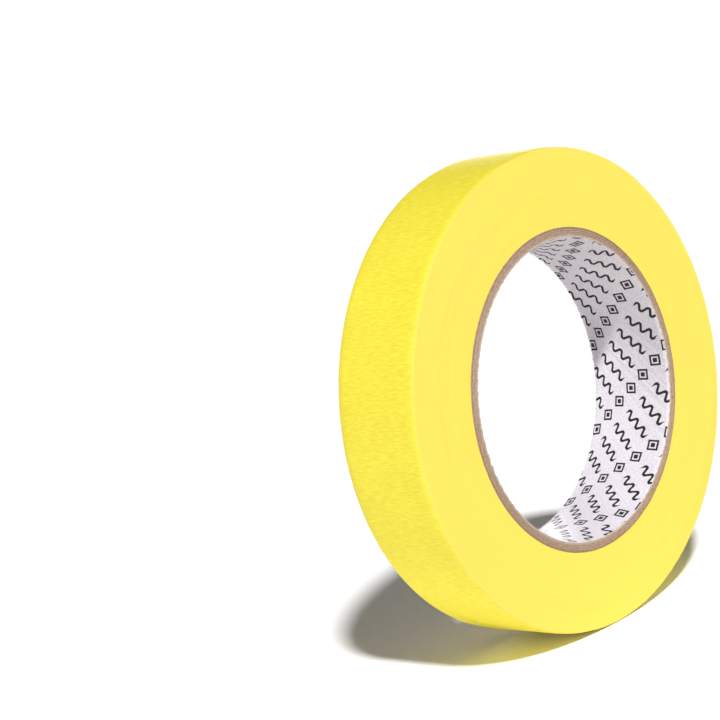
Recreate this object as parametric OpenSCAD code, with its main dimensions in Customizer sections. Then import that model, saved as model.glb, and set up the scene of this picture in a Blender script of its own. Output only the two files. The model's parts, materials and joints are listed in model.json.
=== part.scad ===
// Roll of crepe paper masking tape, standing on its edge.
//
// A core of spirally wound kraft board plies, lined with white paper, carries the
// wound tape. The last half turn is drawn as the tape's two layers, the paper backing
// and the adhesive under it. It runs over the top of the roll to the peel line, where
// the free end starts: it lies on the turn below as far as the cut edge, and lifts
// about the peel line.
//
// Millimetres, +Z up, the roll's axis along Y. The origin is on the floor under the
// middle of the roll. Directions around the axis are angles from +X towards +Z.

/* [Roll] */
// Inside diameter of the core
bore_d = 76.2; // [74:0.1:80]
// Outside diameter over the last turn
roll_d = 121.4; // [95:0.1:150]
// Width of the tape and of its core
tape_w = 24.6; // [18:0.1:50]

/* [Core] */
// Thickness of the white liner
liner_t = 0.25; // [0.15:0.05:0.4]
// Thickness of one kraft ply
ply_t = 0.45; // [0.3:0.05:0.6]
// Number of kraft plies
ply_count = 5; // [3:1:7]
// Slant of the butt seams away from the roll's axis
seam_slant = 45; // [30:1:55]
// Gap left open at a butt seam
seam_gap = 0.2; // [0.1:0.05:0.4]
// Direction of the liner's seam
liner_seam = 157; // [90:1:270]
// Step from one ply's seam to the next ply's
seam_step = 68; // [20:1:160]

/* [Tape] */
// Thickness of the crepe paper backing
backing_t = 0.11; // [0.08:0.01:0.2]
// Thickness of the adhesive
adhesive_t = 0.03; // [0.02:0.01:0.06]

/* [Free end] */
// Direction of the cut edge
cut_angle = 50; // [20:1:60]
// Length of the free end
free_len = 32; // [15:1:40]
// Gap between the free end and the turn below it
free_gap = 0.05; // [0.05:0.01:0.2]

/* [Hidden] */
PLY_NODES = [for (i = [1:ply_count]) str("core_ply_", i)];
TAPE_NODES = [
  "wound_tape", "last_wrap_backing", "last_wrap_adhesive", "free_end_backing", "free_end_adhesive"
];
$fn = 180;

liner_r = bore_d / 2 + liner_t;
core_r = liner_r + ply_count * ply_t;
tape_t = backing_t + adhesive_t;

// The tape's outline is a spiral. It is drawn as two half circles with their centres
// shifted a quarter of the tape's thickness to either side of the axis. They meet
// smoothly opposite the cut edge and leave a step of one thickness at it.
shift = tape_t / 4;
last_r = roll_d / 2 - shift;
lower_r = roll_d / 2 - 3 * shift;
axis_z = lower_r + shift * sin(cut_angle);

// The free end folds about the line where its outer face meets the peel line. Both
// ends that meet there stop a little short of it, so the free end swings clear.
end_gap = 0.05;
peel_angle = cut_angle + free_len / last_r * 180 / PI;
end_gap_angle = end_gap / last_r * 180 / PI;

KRAFT = [0.66, 0.53, 0.46];
TAPE_YELLOW = [0.98, 0.91, 0.32];
ADHESIVE = [0.93, 0.86, 0.52];

// Turns a shape drawn about the Z axis onto the roll's own axis
module on_roll_axis() {
  translate([0, 0, axis_z]) rotate([90, 0, 0]) children();
}

// Ring of a rectangular section, as wide as the tape
module ring(r_in, r_out) {
  difference() {
    cylinder(h = tape_w, r = r_out, center = true);
    cylinder(h = 2 * tape_w, r = r_in, center = true);
  }
}

// Slot along a butt seam, through the wall on one side of the axis only
module seam_slot(direction, r_out) {
  slot_len = 3 * tape_w / cos(seam_slant);
  rotate([0, 0, direction])
    rotate([seam_slant, 0, 0])
      translate([0, -seam_gap / 2, -slot_len / 2])
        cube([r_out + 1, seam_gap, slot_len]);
}

// One layer of the core: a strip wound on a slant, whose edges meet at a butt seam
module core_layer(r_in, r_out, seam_direction) {
  on_roll_axis() difference() {
    ring(r_in, r_out);
    seam_slot(seam_direction, r_out);
  }
}

// Part of a ring about a centre that is moved off the roll's axis, towards the cut
module arc_band(r_in, r_out, from, to, offset) {
  translate(offset * [cos(cut_angle), sin(cut_angle), 0])
    rotate([0, 0, from])
      rotate_extrude(angle = to - from)
        translate([r_in, -tape_w / 2])
          square([r_out - r_in, tape_w]);
}

// A layer of the last half turn, from one direction to another. Depth is the distance
// of the layer's two faces under the outside of the tape.
module outer_layer(depth_in, depth_out, from, to, proud = 0) {
  on_roll_axis()
    arc_band(last_r - depth_in + proud, last_r - depth_out + proud, from, to, shift);
}

module core_liner() {
  color("whitesmoke") core_layer(bore_d / 2, liner_r, liner_seam);
}

module core_ply(i) {
  r_in = liner_r + (i - 1) * ply_t;
  color(KRAFT) core_layer(r_in, r_in + ply_t, liner_seam + i * seam_step);
}

// All the turns under the last half turn, and the lower half turn before it
module wound_tape() {
  inner_r = core_r - 1;
  color(TAPE_YELLOW) on_roll_axis() difference() {
    union() {
      arc_band(inner_r, last_r - tape_t, cut_angle, cut_angle + 180, shift);
      arc_band(inner_r, lower_r, cut_angle + 180, cut_angle + 360, -shift);
    }
    cylinder(h = 2 * tape_w, r = core_r, center = true);
  }
}

module last_wrap_backing() {
  color(TAPE_YELLOW) outer_layer(backing_t, 0, peel_angle + end_gap_angle, cut_angle + 180);
}

module last_wrap_adhesive() {
  color(ADHESIVE) outer_layer(tape_t, backing_t, peel_angle + end_gap_angle, cut_angle + 180);
}

module free_end_backing() {
  color(TAPE_YELLOW) outer_layer(backing_t, 0, cut_angle, peel_angle - end_gap_angle, free_gap);
}

module free_end_adhesive() {
  color(ADHESIVE) outer_layer(tape_t, backing_t, cut_angle, peel_angle - end_gap_angle, free_gap);
}

core_liner();
for (i = [1:ply_count]) {
  core_ply(i);
}
wound_tape();
last_wrap_backing();
last_wrap_adhesive();
free_end_backing();
free_end_adhesive();
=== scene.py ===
"""Roll of crepe paper masking tape: the visual model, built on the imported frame.

Metres, +Z up, the roll's axis along Y. Directions around the axis are angles in radians
from +X towards +Z, and they grow along the tape from its cut edge inwards.
"""

import json
import math

import bpy
import numpy as np
from mathutils import Matrix, Vector


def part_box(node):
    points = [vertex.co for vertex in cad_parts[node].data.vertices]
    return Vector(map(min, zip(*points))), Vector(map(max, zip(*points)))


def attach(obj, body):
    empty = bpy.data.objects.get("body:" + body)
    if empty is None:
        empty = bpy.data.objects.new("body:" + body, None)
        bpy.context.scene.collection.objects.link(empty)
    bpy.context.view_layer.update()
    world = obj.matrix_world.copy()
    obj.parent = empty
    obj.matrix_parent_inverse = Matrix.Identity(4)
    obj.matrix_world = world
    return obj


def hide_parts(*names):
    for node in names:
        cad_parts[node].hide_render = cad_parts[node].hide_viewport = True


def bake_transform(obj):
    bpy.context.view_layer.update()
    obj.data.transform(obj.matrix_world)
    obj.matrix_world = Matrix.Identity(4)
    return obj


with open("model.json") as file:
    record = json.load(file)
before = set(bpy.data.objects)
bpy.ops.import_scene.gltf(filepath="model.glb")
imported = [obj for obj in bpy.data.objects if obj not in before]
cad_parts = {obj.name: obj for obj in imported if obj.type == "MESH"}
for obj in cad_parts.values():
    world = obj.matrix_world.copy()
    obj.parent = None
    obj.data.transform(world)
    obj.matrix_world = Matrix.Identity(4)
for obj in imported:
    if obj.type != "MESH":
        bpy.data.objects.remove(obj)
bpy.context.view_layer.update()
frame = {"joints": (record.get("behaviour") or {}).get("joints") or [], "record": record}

MM = 0.001
TURN = 2 * math.pi


# ---------------------------------------------------------------- sizes from the frame


def node_radius(node):
    """Outside radius of a ring-shaped CAD node."""
    low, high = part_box(node)
    return (high[0] - low[0]) / 2


BORE = next(mount for mount in frame["record"]["mounts"] if mount["name"] == "core_bore")
AXIS_Z = BORE["pos_m"][2]
BORE_R = BORE["dims"]["r_mm"] * MM
WIDTH = BORE["dims"]["length_mm"] * MM
PLY_NODES = [f"core_ply_{i}" for i in range(1, 6)]
LINER_R = node_radius("core_liner")
PLY_R = [node_radius(node) for node in PLY_NODES]
CORE_R = PLY_R[-1]

# The tape's two layers, and the gap under its free end in the CAD
BACKING_T = 0.11 * MM
ADHESIVE_T = 0.03 * MM
TAPE_T = BACKING_T + ADHESIVE_T
FREE_GAP = 0.05 * MM

# The line that the free end peels from, and the cut edge that it ends in
PEEL_LINE = Vector(frame["joints"][0]["pos_m"])
PEEL_ANGLE = math.atan2(PEEL_LINE.z - AXIS_Z, PEEL_LINE.x)
PEEL_R = math.hypot(PEEL_LINE.x, PEEL_LINE.z - AXIS_Z) - FREE_GAP
CUT_ANGLE = math.acos(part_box("free_end_backing")[1][0] / PEEL_R)
OUTER_R = PEEL_R + TAPE_T * (PEEL_ANGLE - CUT_ANGLE) / TURN

# The core's butt seams: where the liner's is, the step to each next ply's, their slant
# away from the roll's axis and the gap they leave
LINER_SEAM = math.radians(157)
SEAM_STEP = math.radians(68)
SEAM_SLANT = math.radians(45)
SEAM_GAP = 0.2 * MM

# The outer turn is a piece of its own from the cut edge to here, close to the floor
OUTER_TURN_END = math.radians(255)
# Half the width of the wound tape, whose edges sit a little inside the ends of the core
TAPE_HALF = WIDTH / 2 - 0.22 * MM
# Length of the free end, next to the peel line, where the outer turn's rows lie closer
CURL = 3 * MM


# ------------------------------------------------------------------------ relief


def waves(u, v, u_lengths, v_length, count, seed):
    """Smooth seeded noise of u and v, with a variance of one: many sine waves, whose
    lengths along u lie between two values, and along v about one value."""
    draw = np.random.default_rng(seed)
    total = np.zeros(np.broadcast(u, v).shape)
    for _ in range(count):
        u_wave = TURN / draw.uniform(*u_lengths)
        v_wave = TURN / v_length * draw.normal()
        total += np.sin(u * u_wave + v * v_wave + draw.uniform(0, TURN))
    return total / math.sqrt(count / 2)


def spiral(phi):
    """Radius of the tape's outer face. Past a full turn it runs under itself."""
    return OUTER_R - TAPE_T * (phi - CUT_ANGLE) / TURN


def crepe(phi, y):
    """Height of the crepe wrinkles, which run across the tape in short broken ridges, and
    of the slow swells under them."""
    ridge_height = 0.016 * MM
    swell_height = 0.012 * MM
    mean_wave = 0.8
    along = OUTER_R * (phi - CUT_ANGLE)
    ridges = waves(along, y, u_lengths=(1.3 * MM, 2.6 * MM), v_length=11 * MM, count=36, seed=11)
    swells = waves(along, y, u_lengths=(6 * MM, 20 * MM), v_length=30 * MM, count=12, seed=12)
    return ridge_height * (mean_wave - np.abs(ridges)) + swell_height * swells


def wander(r, phi):
    """Sideways drift of the tape's edges from turn to turn, the same on both faces."""
    wave_count = 10
    wave_height = 0.012 * MM
    most_swings = 2
    draw = np.random.default_rng(21)
    total = np.zeros(np.broadcast(r, phi).shape)
    for _ in range(wave_count):
        length = draw.uniform(2.6, 11) * MM
        swings = draw.integers(-most_swings, most_swings + 1)
        total += np.sin(TURN * r / length + swings * phi + draw.uniform(0, TURN))
    return wave_height * total


def edge_share(y):
    """Zero over the middle of the tape, growing to one across its two pressed edges."""
    edge_width = 2.0 * MM
    return np.clip((np.abs(y) - (TAPE_HALF - edge_width)) / edge_width, 0, 1)


def side_share(y):
    """Zero where the outer face shows its wrinkles, growing to one at its two edges."""
    side_width = 0.8 * MM
    return np.clip((np.abs(y) - (TAPE_HALF - side_width)) / side_width, 0, 1)


def pressed(y):
    """How far the outer turns are pressed down along their two edges."""
    edge_drop = 0.34 * MM
    return edge_drop * edge_share(y) ** 2


# ------------------------------------------------------------------- mesh building


# Faces that meet at more than this keep a sharp edge
SHARP_ANGLE = math.radians(35)


def spaced(start, end, count, crowding):
    """Values from start to end, crowded towards both of them."""
    share = np.linspace(-1, 1, count)
    share = np.sign(share) * (1 - (1 - np.abs(share)) ** crowding)
    return start + (end - start) * (share + 1) / 2


def lofted(name, phi, r, y, ring=False):
    """A closed mesh from a grid of points around the axis. A row is one closed section,
    whose last point repeats its first. A ring's last row repeats its first, a turn on."""
    rows, columns = phi.shape
    own_rows = rows - 1 if ring else rows
    own_columns = columns - 1
    row_index = np.arange(rows) % own_rows
    column_index = np.arange(columns) % own_columns
    index = row_index[:, None] * own_columns + column_index
    points = np.stack([r * np.cos(phi), y, AXIS_Z + r * np.sin(phi)], axis=-1)
    quads = np.stack([index[:-1, :-1], index[:-1, 1:], index[1:, 1:], index[1:, :-1]], axis=-1)
    flat = np.stack([OUTER_R * (phi - CUT_ANGLE), y + WIDTH / 2], axis=-1)
    flat_corners = np.stack([flat[:-1, :-1], flat[:-1, 1:], flat[1:, 1:], flat[1:, :-1]], axis=2)

    faces = quads.reshape(-1, 4).tolist()
    corners = flat_corners.reshape(-1, 2)
    if not ring:
        faces.append(index[0, :-1][::-1].tolist())
        faces.append(index[-1, :-1].tolist())
        corners = np.concatenate([corners, flat[0, :-1][::-1], flat[-1, :-1]])

    mesh = bpy.data.meshes.new(name)
    mesh.from_pydata(points[:own_rows, :own_columns].reshape(-1, 3).tolist(), [], faces)
    mesh.uv_layers.new(name="strip").data.foreach_set("uv", corners.astype(np.float32).ravel())
    mesh.shade_smooth()
    mesh.set_sharp_from_angle(angle=SHARP_ANGLE)
    piece = bpy.data.objects.new(name, mesh)
    bpy.context.scene.collection.objects.link(piece)
    return piece


def add_attribute(piece, name, values):
    """Stores one number for each point of a piece."""
    attribute = piece.data.attributes.new(name, "FLOAT", "POINT")
    attribute.data.foreach_set("value", values.astype(np.float32).ravel())


def finish_piece(piece, look, slot, *nodes):
    """Gives a piece its material and hides the CAD nodes that it stands for."""
    piece.data.materials.append(look)
    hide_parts(*nodes)


# ----------------------------------------------------------------------- the core


def board_ring(name, r_in, r_out, seam, steps, recess, edge_noise, edge_lengths, seed, wall):
    """One layer of the core: a strip wound once round, with slanted butt ends that leave
    a seam. Its two rims are set back a little and run unevenly."""
    corner = 0.25 * (r_out - r_in)
    rim_r = np.array([r_in, r_in + corner, r_out - corner, r_out])
    rim_y = np.array([corner, 0.0, 0.0, corner])
    wall_y = spaced(-1, 1, wall, crowding=1.5)
    inner = np.full(wall, r_in)

    # One section, as a radius, a side from -1 to 1 and a set-back from that side's rim:
    # the inner wall, the back rim, then over the outer wall to the front rim
    section_r = np.concatenate([inner, rim_r[1:], rim_r[::-1]])
    side = np.concatenate([wall_y, np.ones(3), -np.ones(4)])
    setback = np.concatenate([np.abs(wall_y) * corner, rim_y[1:], rim_y[::-1]])

    gap = SEAM_GAP / 2 / r_in
    base_phi = np.linspace(seam - TURN + gap, seam - gap, steps + 1)[:, None]
    uneven = waves(
        base_phi * r_in, side * WIDTH, u_lengths=edge_lengths, v_length=9 * MM, count=24, seed=seed
    )
    rim = recess + edge_noise * uneven
    y = side * (WIDTH / 2) - np.sign(side) * setback - side * rim
    phi = base_phi + math.tan(SEAM_SLANT) * y / r_in
    r = np.broadcast_to(section_r, y.shape)
    return lofted(name, phi, r, y)


def build_liner(look):
    """The printed lining paper, whose rims fray a little."""
    liner = board_ring(
        "liner", BORE_R, LINER_R, LINER_SEAM, steps=960, recess=0.05 * MM,
        edge_noise=0.07 * MM, edge_lengths=(0.8 * MM, 4 * MM), seed=31, wall=9,
    )
    finish_piece(liner, look, "liner_paper", "core_liner")
    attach(liner, "roll")


def build_plies(look):
    """The kraft board, ply by ply. Every second ply is set back a little more."""
    recesses = (0.03 * MM, 0.06 * MM)
    inner_radii = [LINER_R] + PLY_R[:-1]
    for number, (node, r_in, r_out) in enumerate(zip(PLY_NODES, inner_radii, PLY_R), start=1):
        ply = board_ring(
            f"ply_{number}", r_in, r_out, LINER_SEAM + number * SEAM_STEP, steps=540,
            recess=recesses[number % 2], edge_noise=0.02 * MM,
            edge_lengths=(1.2 * MM, 9 * MM), seed=40 + number, wall=3,
        )
        finish_piece(ply, look, "kraft_board", node)
        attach(ply, "roll")


# ----------------------------------------------------------------------- the tape


# Places of the mesh's points across the tape, and the angle between its rows
ACROSS = spaced(-TAPE_HALF, TAPE_HALF, 31, crowding=1.6)
STEP = math.radians(0.4)


def build_wound_tape(look):
    """Every turn under the outer one, with a step where the outer piece ends."""
    rings = 32
    crowding = 1.15
    clearance = 0.01 * MM
    start = OUTER_TURN_END - TURN
    phi = np.linspace(start, OUTER_TURN_END, round(TURN / STEP) + 1)[:, None]
    under_outer_turn = phi > CUT_ANGLE
    top_r = np.where(under_outer_turn, spiral(phi) - TAPE_T, spiral(phi + TURN))
    top_r[-1] = top_r[0]

    rim_r = top_r - pressed(TAPE_HALF)
    depth = np.linspace(0, 1, rings + 1)[1:] ** crowding
    down = rim_r + (CORE_R - rim_r) * depth
    up = down[:, ::-1][:, 1:]
    top = top_r - pressed(ACROSS)
    r = np.concatenate([top, down, np.full_like(phi, CORE_R), up, top[:, :1]], axis=1)
    back = np.full(rings, TAPE_HALF)
    front = np.full(rings, -TAPE_HALF)
    y = np.broadcast_to(np.concatenate([ACROSS, back, front, ACROSS[:1]]), r.shape)

    outside = np.zeros(r.shape[1], bool)
    outside[: len(ACROSS)] = True
    outside[-1] = True
    wrinkle = np.where(outside, crepe(phi, np.broadcast_to(y, r.shape)), 0)
    wrinkle = wrinkle - np.where(outside & under_outer_turn, clearance, 0)
    wrinkle[-1] = wrinkle[0]
    phi = np.broadcast_to(phi, r.shape)
    tape = lofted("wound_tape_turns", phi, r + wrinkle, y + wander(r, phi), ring=True)
    side = np.broadcast_to(np.where(outside, side_share(y), 1.0), r.shape)
    add_attribute(tape, "side", side[:-1, :-1])
    finish_piece(tape, look, "crepe_paper", "wound_tape")
    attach(tape, "roll")


def row_directions(start, end, step):
    """Even directions from start up to end, without end itself."""
    return np.linspace(start, end, round((end - start) / step), endpoint=False)


def build_outer_layer(name, look, slot, depth_out, depth_in, *nodes):
    """One layer of the outer turn, from the cut edge over the peel line and down the far
    side, in one piece whose rows lie closer just before the peel line."""
    bend_start = PEEL_ANGLE - CURL / OUTER_R
    bend_step = STEP / 6
    phi = np.concatenate([
        row_directions(CUT_ANGLE, bend_start, STEP),
        row_directions(bend_start, PEEL_ANGLE, bend_step),
        row_directions(PEEL_ANGLE, OUTER_TURN_END, STEP),
        [OUTER_TURN_END],
    ])[:, None]
    columns = np.concatenate([ACROSS, ACROSS[::-1], ACROSS[:1]])
    depth = np.repeat([depth_out, depth_in, depth_out], [len(ACROSS), len(ACROSS), 1])
    y = np.broadcast_to(columns, (len(phi), len(columns)))

    # The cut runs slightly unevenly. The last few millimetres spring up from the roll,
    # the back corner more than the front one.
    uneven = 0.1 * MM * waves(y, 0 * y, u_lengths=(3 * MM, 14 * MM), v_length=1, count=8, seed=51)
    fade_length = 3 * MM
    fade = np.clip(1 - (phi - CUT_ANGLE) * OUTER_R / fade_length, 0, 1)
    phi = phi + uneven * fade / OUTER_R
    from_cut = (phi - CUT_ANGLE) * OUTER_R
    front_lift, back_lift = 0.08 * MM, 0.42 * MM
    spring_length = 5 * MM
    lift = front_lift + (back_lift - front_lift) * (y / WIDTH + 0.5) ** 2
    spring = lift * np.exp(-from_cut / spring_length)

    r = spiral(phi) - depth - pressed(y) + crepe(phi, y) + spring
    layer = lofted(name, phi, r, y + wander(OUTER_R, phi))
    add_attribute(layer, "side", side_share(y)[:, :-1])
    finish_piece(layer, look, slot, *nodes)
    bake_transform(layer)


# --------------------------------------------------------------------- materials


# Colours, as linear red, green and blue, each in a deep and a pale tone where it varies
BAND_DEEP = (0.64, 0.535, 0.027, 1)
BAND_PALE = (0.83, 0.72, 0.063, 1)
SIDE_DEEP = (0.75, 0.575, 0.068, 1)
SIDE_PALE = (0.82, 0.665, 0.102, 1)
KRAFT_DEEP = (0.265, 0.168, 0.118, 1)
KRAFT_PALE = (0.50, 0.36, 0.28, 1)
KRAFT_OLIVE = (0.38, 0.285, 0.165, 1)
# Dark lines at the joints between plies, also used as painted shade next to the tape
KRAFT_JOINT_AND_SHADE = (0.18, 0.11, 0.05, 1)
KRAFT_FLUFF = (0.60, 0.50, 0.40, 1)
KRAFT_SPECK = (0.10, 0.065, 0.05, 1)
LINER_DEEP = (0.56, 0.522, 0.566, 1)
LINER_PALE = (0.825, 0.775, 0.83, 1)
LINER_RIM = (0.50, 0.41, 0.34, 1)
INK = (0.008, 0.007, 0.009, 1)
GLUE_DEEP = (0.80, 0.70, 0.24, 1)
GLUE_PALE = (0.88, 0.80, 0.38, 1)
FLOOR_DEEP = (0.975, 0.975, 0.975, 1)
FLOOR_PALE = (0.99, 0.99, 0.99, 1)


class Field:
    """A number that varies over a surface. Arithmetic on it adds Math nodes."""

    def __init__(self, look, socket):
        self.look = look
        self.socket = socket

    def math(self, operation, *others):
        values = dict(enumerate((self, *others)))
        return self.look.node("ShaderNodeMath", values, operation=operation)

    def __add__(self, other):
        return self.math("ADD", other)

    def __sub__(self, other):
        return self.math("SUBTRACT", other)

    def __mul__(self, other):
        return self.math("MULTIPLY", other)

    def __truediv__(self, other):
        return self.math("DIVIDE", other)

    def __rsub__(self, other):
        return self.math("MULTIPLY_ADD", -1.0, other)

    def __abs__(self):
        return self.math("ABSOLUTE")

    def sine(self):
        return self.math("SINE")

    def root(self):
        return self.math("SQRT")

    def larger(self, other):
        return self.math("MAXIMUM", other)

    def repeat(self, length):
        """The distance past the last whole length, from zero to length."""
        return self.math("FLOORED_MODULO", length)

    def rise(self, low, high):
        """Zero below low, one above high, and smooth between them."""
        values = {0: self, 1: low, 2: high, 3: 0.0, 4: 1.0}
        return self.look.node("ShaderNodeMapRange", values, interpolation_type="SMOOTHSTEP")


class Look:
    """A material being made, with short words for the nodes that it needs."""

    def __init__(self, name):
        self.material = bpy.data.materials.new(name)
        self.material.use_nodes = True
        self.tree = self.material.node_tree
        self.shader = self.tree.nodes["Principled BSDF"]

    def node(self, kind, inputs, output=0, **settings):
        made = self.tree.nodes.new(kind)
        for key, value in settings.items():
            setattr(made, key, value)
        for key, value in inputs.items():
            if isinstance(value, Field):
                self.tree.links.new(value.socket, made.inputs[key])
            else:
                made.inputs[key].default_value = value
        return Field(self, made.outputs[output])

    def parts(self, vector):
        """The three numbers of a vector."""
        split = self.tree.nodes.new("ShaderNodeSeparateXYZ")
        self.tree.links.new(vector.socket, split.inputs[0])
        return [Field(self, output) for output in split.outputs]

    def strip(self):
        """Metres along the strip and metres across it."""
        return self.parts(self.node("ShaderNodeUVMap", {}, uv_map="strip"))[:2]

    def around(self):
        """Radius from the roll's axis, with the cosine and sine of the direction."""
        x, _, z = self.parts(self.node("ShaderNodeTexCoord", {}, output="Object"))
        height = z - AXIS_Z
        radius = (x * x + height * height).root()
        return radius, x / radius, height / radius

    def noise(self, x, y, z=0.0, detail=2.0, roughness=0.5):
        """Noise about 0.5, with features about one unit of x, y and z across."""
        point = self.node("ShaderNodeCombineXYZ", {0: x, 1: y, 2: z})
        values = {"Vector": point, "Scale": 1.0, "Detail": detail, "Roughness": roughness}
        return self.node("ShaderNodeTexNoise", values)

    def mix(self, factor, first, second):
        """Colour first where factor is zero and second where it is one."""
        colours = {0: factor, 6: first, 7: second}
        return self.node("ShaderNodeMix", colours, output=2, data_type="RGBA")

    def finish(self, colour, roughness, height, height_scale, **numbers):
        """Links the colour and the bump to the shader, and sets its plain numbers."""
        self.tree.links.new(colour.socket, self.shader.inputs["Base Color"])
        if isinstance(roughness, Field):
            self.tree.links.new(roughness.socket, self.shader.inputs["Roughness"])
        else:
            self.shader.inputs["Roughness"].default_value = roughness
        values = {"Height": height, "Distance": height_scale, "Strength": 1.0}
        bump = self.node("ShaderNodeBump", values)
        self.tree.links.new(bump.socket, self.shader.inputs["Normal"])
        for socket_name, value in numbers.items():
            self.shader.inputs[socket_name.replace("_", " ")].default_value = value
        return self.material


def ridged(noise):
    """Narrow crests at one, where the noise crosses its middle, falling to zero."""
    return 1.0 - abs(noise * 4.0 - 2.0)


def tape_look():
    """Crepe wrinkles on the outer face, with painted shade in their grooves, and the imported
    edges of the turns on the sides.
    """
    look = Look("crepe_paper")
    along, over = look.strip()
    radius, cosine, sine = look.around()
    side = look.node("ShaderNodeAttribute", {}, output="Fac", attribute_name="side")

    # The outer face: wrinkles that are short along the tape and long across it
    creases = ridged(look.noise(along / (1.1 * MM), over / (5 * MM), detail=3, roughness=0.6))
    fine = look.noise(along / (0.45 * MM), over / (2.6 * MM), 7.0, detail=3).rise(0.3, 0.7)
    mottle = look.noise(along / (9 * MM), over / (14 * MM), 3.0, detail=3)
    crepe_height = creases * 0.35 + fine * 0.65

    # The side faces: thin lines and broad bands that run with the turns, and a fine grain
    grain_size = 0.35 * MM
    loose = radius / (9 * MM)
    lines = look.noise(radius / (0.5 * MM), cosine * 1.6, sine * 1.6, detail=4, roughness=0.7)
    bands = look.noise(radius / (4.5 * MM), cosine * 0.8, sine * 0.8, detail=2)
    grain = look.noise(
        cosine * radius / grain_size, sine * radius / grain_size, loose, detail=3
    )
    side_height = lines * 0.8 + grain * 0.2

    # Painted shade: the band's colour is deeper in the wrinkles' grooves and paler on their
    # crests, under a broad random mottle of its own tone
    groove_shaded_band = look.mix(crepe_height * 0.65 + mottle * 0.35, BAND_DEEP, BAND_PALE)
    edges = look.mix(lines * 0.4 + bands * 0.4 + grain * 0.2, SIDE_DEEP, SIDE_PALE)
    colour = look.mix(side, groove_shaded_band, edges)
    height = crepe_height * (1.0 - side) + side_height * side
    return look.finish(colour, 0.62, height, 0.03 * MM, Specular_IOR_Level=0.3)


def kraft_look():
    """Cut board edges: fibres along the plies, dark specks, a dark line at each joint and painted
    shade along the outer rim, next to the tape.
    """
    look = Look("kraft_board")
    radius, cosine, sine = look.around()
    ply_t = PLY_R[0] - LINER_R
    into_ply = (radius - LINER_R).repeat(ply_t)
    joint = abs(into_ply / ply_t * 2.0 - 1.0).rise(0.55, 1.0)

    grain_size = 0.7 * MM
    fibres = look.noise(radius / (0.18 * MM), cosine * 34, sine * 34, detail=4, roughness=0.65)
    x_grain = cosine * radius / grain_size
    z_grain = sine * radius / grain_size
    grain = look.noise(x_grain, z_grain, 2.0, detail=4, roughness=0.75)
    tint = look.noise(x_grain * 0.5, z_grain * 0.5, 7.0, detail=3).rise(0.4, 0.7)
    specks = look.noise(x_grain * 1.6, z_grain * 1.6, 11.0, detail=1).rise(0.66, 0.72)
    fluff = look.noise(x_grain * 1.2, z_grain * 1.2, 15.0, detail=2).rise(0.62, 0.70)

    # Painted shade: the face of the outer rim is darker where it meets the tape, apart from its
    # rounded corner. The inner rim is paler
    off_corner = 1.0 - radius.rise(CORE_R - 0.14 * MM, CORE_R - 0.07 * MM)
    painted_tape_shade = radius.rise(CORE_R - 0.45 * MM, CORE_R - 0.2 * MM) * off_corner
    nearly_liner = 1.0 - radius.rise(LINER_R + 0.1 * MM, LINER_R + 0.6 * MM)

    pale = (fibres * 0.35 + grain * 0.65).rise(0.33, 0.67)
    board = look.mix(pale, KRAFT_DEEP, KRAFT_PALE)
    board = look.mix(tint * 0.4, board, KRAFT_OLIVE)
    board = look.mix(joint * 0.5, board, KRAFT_JOINT_AND_SHADE)
    board = look.mix(nearly_liner * grain * 0.7 + fluff * 0.35, board, KRAFT_FLUFF)
    # Painted shade: a broken dark line on the board's face next to the tape
    board = look.mix(painted_tape_shade * grain.rise(0.1, 0.5) * 0.65, board, KRAFT_JOINT_AND_SHADE)
    colour = look.mix(specks * 0.6, board, KRAFT_SPECK)
    height = fibres * 0.6 + grain * 0.4 - joint * 0.5
    return look.finish(colour, 0.85, height, 0.08 * MM, Specular_IOR_Level=0.25)


def motif(along, over):
    """One printed motif, as a share of ink: a diamond with a solid centre, then a wave.
    It starts at the diamond's centre and runs along the row."""
    soft = 0.07 * MM
    half_line = 0.34 * MM
    outline_r, centre_r = 1.75 * MM, 0.8 * MM
    diamond = abs(along) + abs(over)
    outline = 1.0 - abs(diamond - outline_r).rise(half_line, half_line + soft)
    centre = 1.0 - diamond.rise(centre_r, centre_r + soft)

    start, end = 3.4 * MM, 13.0 * MM
    wave_length = 3.2 * MM
    swing = 0.9 * MM
    steepest = TURN * swing / wave_length
    angle = (along - start) * (TURN / wave_length)
    wave = angle.sine() * swing
    slope = (angle + TURN / 4).sine() * steepest
    distance = abs(over - wave) / (slope * slope + 1.0).root()
    line = 1.0 - distance.rise(half_line, half_line + soft)
    within = along.rise(start - soft, start) * (1.0 - along.rise(end, end + soft))
    return outline.larger(centre).larger(line * within)


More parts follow.
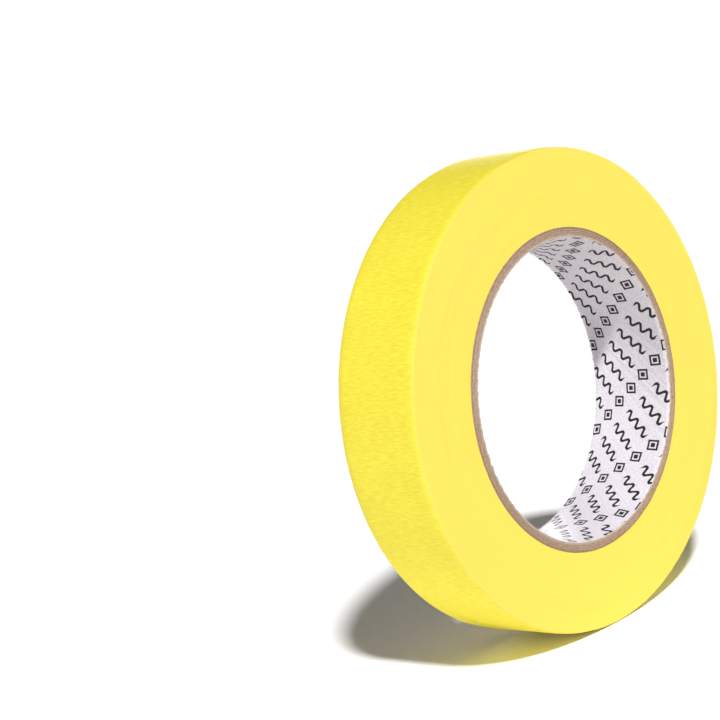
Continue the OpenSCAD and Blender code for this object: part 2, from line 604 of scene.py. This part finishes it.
def liner_look():
    """White lining paper, printed all over with slanted rows of a plain motif."""
    look = Look("printed_liner")
    along, over = look.strip()
    arc = along * (BORE_R / OUTER_R) + CUT_ANGLE * BORE_R

    # Rows at 45 degrees, counted from one diamond's centre: the step from row to row, each
    # row's shift along itself, the spacing of the motifs in a row, and how far each motif's
    # room begins before its diamond's centre
    first_arc, first_depth = -1.13 * MM, 3.55 * MM
    row_step, row_shift, spacing, lead = 5.43 * MM, 0.16 * MM, 17.1 * MM, 3.0 * MM
    x = (arc - first_arc + over - first_depth) * math.sqrt(0.5)
    y = (over - first_depth - arc + first_arc) * math.sqrt(0.5)
    row = (y / row_step).math("ROUND")
    over_row = y - row * row_step
    along_row = (x - row * row_shift + lead).repeat(spacing) - lead

    wear = look.noise(along / (0.4 * MM), over / (0.4 * MM), detail=4, roughness=0.7)
    clouds = look.noise(along / (12 * MM), over / (12 * MM), 4.0, detail=3)
    grain = look.noise(along / (0.7 * MM), over / (0.7 * MM), 9.0, detail=3)
    radius, _, _ = look.around()
    on_wall = 1.0 - radius.rise(BORE_R + 0.005 * MM, BORE_R + 0.02 * MM)
    ink = motif(along_row, over_row) * wear.rise(0.22, 0.4) * on_wall
    shade = clouds * 0.35 + grain.rise(0.25, 0.75) * 0.65
    paper = look.mix(shade, LINER_DEEP, LINER_PALE)
    paper = look.mix(1.0 - on_wall, paper, LINER_RIM)
    colour = look.mix(ink * 0.99, paper, INK)
    height = grain * 0.7 + clouds * 0.3
    return look.finish(colour, 0.55, height, 0.02 * MM, Specular_IOR_Level=0.35)


def adhesive_look():
    """The tacky side: pale, a little uneven and glossier than the paper."""
    look = Look("adhesive")
    along, over = look.strip()
    creases = ridged(look.noise(along / (1.1 * MM), over / (9 * MM), detail=3))
    smears = look.noise(along / (5 * MM), over / (3 * MM), 6.0, detail=3)
    colour = look.mix(creases * 0.4 + smears * 0.6, GLUE_DEEP, GLUE_PALE)
    roughness = smears * 0.25 + 0.2
    return look.finish(colour, roughness, creases, 0.02 * MM, Specular_IOR_Level=0.5)


def floor_look():
    """Plain matt white, with a trace of grain."""
    look = Look("floor_white")
    x, y, _ = look.parts(look.node("ShaderNodeTexCoord", {}, output="Object"))
    grain = look.noise(x / (4 * MM), y / (4 * MM), detail=3)
    colour = look.mix(grain, FLOOR_DEEP, FLOOR_PALE)
    return look.finish(colour, 0.9, grain, 0.02 * MM, Specular_IOR_Level=0.1)


# ------------------------------------------------------------------ stage and lights


def from_direction(azimuth, elevation):
    """Unit vector towards something at an azimuth and elevation in degrees. Azimuth 0 is
    in front of the roll, at -Y, and 90 is at +X."""
    turned, raised = math.radians(azimuth), math.radians(elevation)
    level = math.cos(raised)
    return Vector((math.sin(turned) * level, -math.cos(turned) * level, math.sin(raised)))


def add_sun(name, azimuth, elevation, brightness, spread):
    """A distant soft light that makes a white sheet facing it as bright as brightness."""
    light = bpy.data.lights.new(name, "SUN")
    light.energy = brightness * math.pi
    light.angle = math.radians(spread)
    sun = bpy.data.objects.new(name, light)
    sun.rotation_mode = "QUATERNION"
    sun.rotation_quaternion = from_direction(azimuth, elevation).to_track_quat("Z", "Y")
    bpy.context.scene.collection.objects.link(sun)


def add_spot(name, target, azimuth, distance, brightness, reach):
    """A level spotlight that fades out at its reach from the target. It makes a white sheet
    facing it there as bright as brightness."""
    light = bpy.data.lights.new(name, "SPOT")
    light.energy = brightness * (TURN * distance) ** 2
    light.spot_size = 2 * math.atan(reach / distance)
    light.spot_blend = 1.0
    light.shadow_soft_size = 30 * MM
    towards_lamp = from_direction(azimuth, 0)
    spot = bpy.data.objects.new(name, light)
    spot.location = target + distance * towards_lamp
    spot.rotation_mode = "QUATERNION"
    spot.rotation_quaternion = towards_lamp.to_track_quat("Z", "Y")
    bpy.context.scene.collection.objects.link(spot)


# The direction of the band's low left, which the key light doesn't reach
LOW_LEFT = math.radians(222)

# The heights, as sines of the elevation, between which the surroundings grow dim
GLOW_LOW = math.sin(math.radians(5))
GLOW_HIGH = math.sin(math.radians(18))


def add_world(horizon, zenith):
    """White surroundings, bright around the horizon and dimmer overhead."""
    world = bpy.data.worlds.new("studio")
    bpy.context.scene.world = world
    world.use_nodes = True
    nodes, links = world.node_tree.nodes, world.node_tree.links
    direction = nodes.new("ShaderNodeTexCoord")
    split = nodes.new("ShaderNodeSeparateXYZ")
    strength = nodes.new("ShaderNodeMapRange")
    strength.interpolation_type = "SMOOTHSTEP"
    for socket, value in zip(strength.inputs[1:5], (GLOW_LOW, GLOW_HIGH, horizon, zenith)):
        socket.default_value = value
    background = nodes["Background"]
    background.inputs["Color"].default_value = (1, 1, 1, 1)
    links.new(direction.outputs["Generated"], split.inputs[0])
    links.new(split.outputs["Z"], strength.inputs["Value"])
    links.new(strength.outputs["Result"], background.inputs["Strength"])


def add_floor():
    """A plain floor that reaches past every view."""
    half = 8.0
    corners = [(-half, -half, 0), (half, -half, 0), (half, half, 0), (-half, half, 0)]
    mesh = bpy.data.meshes.new("floor")
    mesh.from_pydata(corners, [], [(0, 1, 2, 3)])
    mesh.materials.append(floor_look())
    floor = bpy.data.objects.new("floor", mesh)
    bpy.context.scene.collection.objects.link(floor)


def add_camera():
    """The photographer's view: from the left of the front face, from a little above."""
    distance = 485.4 * MM
    eye_azimuth, eye_elevation = -50.96, 10.03
    facing, pitch, roll = -44.67, 8.0, 10.97
    front_centre = Vector((0, -WIDTH / 2, AXIS_Z))
    camera = bpy.data.objects.new("camera", bpy.data.cameras.new("camera"))
    camera.data.lens = 96.7
    camera.data.sensor_width = 36.0
    camera.data.clip_start = 0.01
    turn = Matrix.Rotation(math.radians(facing), 4, "Z")
    tilt = Matrix.Rotation(math.radians(90 - pitch), 4, "X")
    twist = Matrix.Rotation(math.radians(-roll), 4, "Z")
    eye = front_centre + distance * from_direction(eye_azimuth, eye_elevation)
    camera.matrix_world = Matrix.Translation(eye) @ turn @ tilt @ twist
    bpy.context.scene.collection.objects.link(camera)
    bpy.context.scene.camera = camera


# -------------------------------------------------------------------------- build


tape = tape_look()
glue = adhesive_look()
build_liner(liner_look())
build_plies(kraft_look())
build_wound_tape(tape)
build_outer_layer(
    "outer_turn_backing", tape, "crepe_paper", 0, BACKING_T,
    "last_wrap_backing", "free_end_backing",
)
build_outer_layer(
    "outer_turn_adhesive", glue, "adhesive", BACKING_T, TAPE_T,
    "last_wrap_adhesive", "free_end_adhesive",
)

add_floor()
add_world(horizon=1.2, zenith=0.05)
add_sun("key", azimuth=-33, elevation=50, brightness=1.21, spread=5)
add_sun("left_fill", azimuth=-80, elevation=2, brightness=0.16, spread=20)
low_left = Vector((OUTER_R * math.cos(LOW_LEFT), 0, AXIS_Z + OUTER_R * math.sin(LOW_LEFT)))
add_spot("low_fill", low_left, azimuth=-90, distance=0.8, brightness=0.42, reach=38 * MM)
add_sun("back_fill", azimuth=135, elevation=4, brightness=0.42, spread=20)
add_camera()
bpy.context.scene.view_settings.view_transform = "Standard"
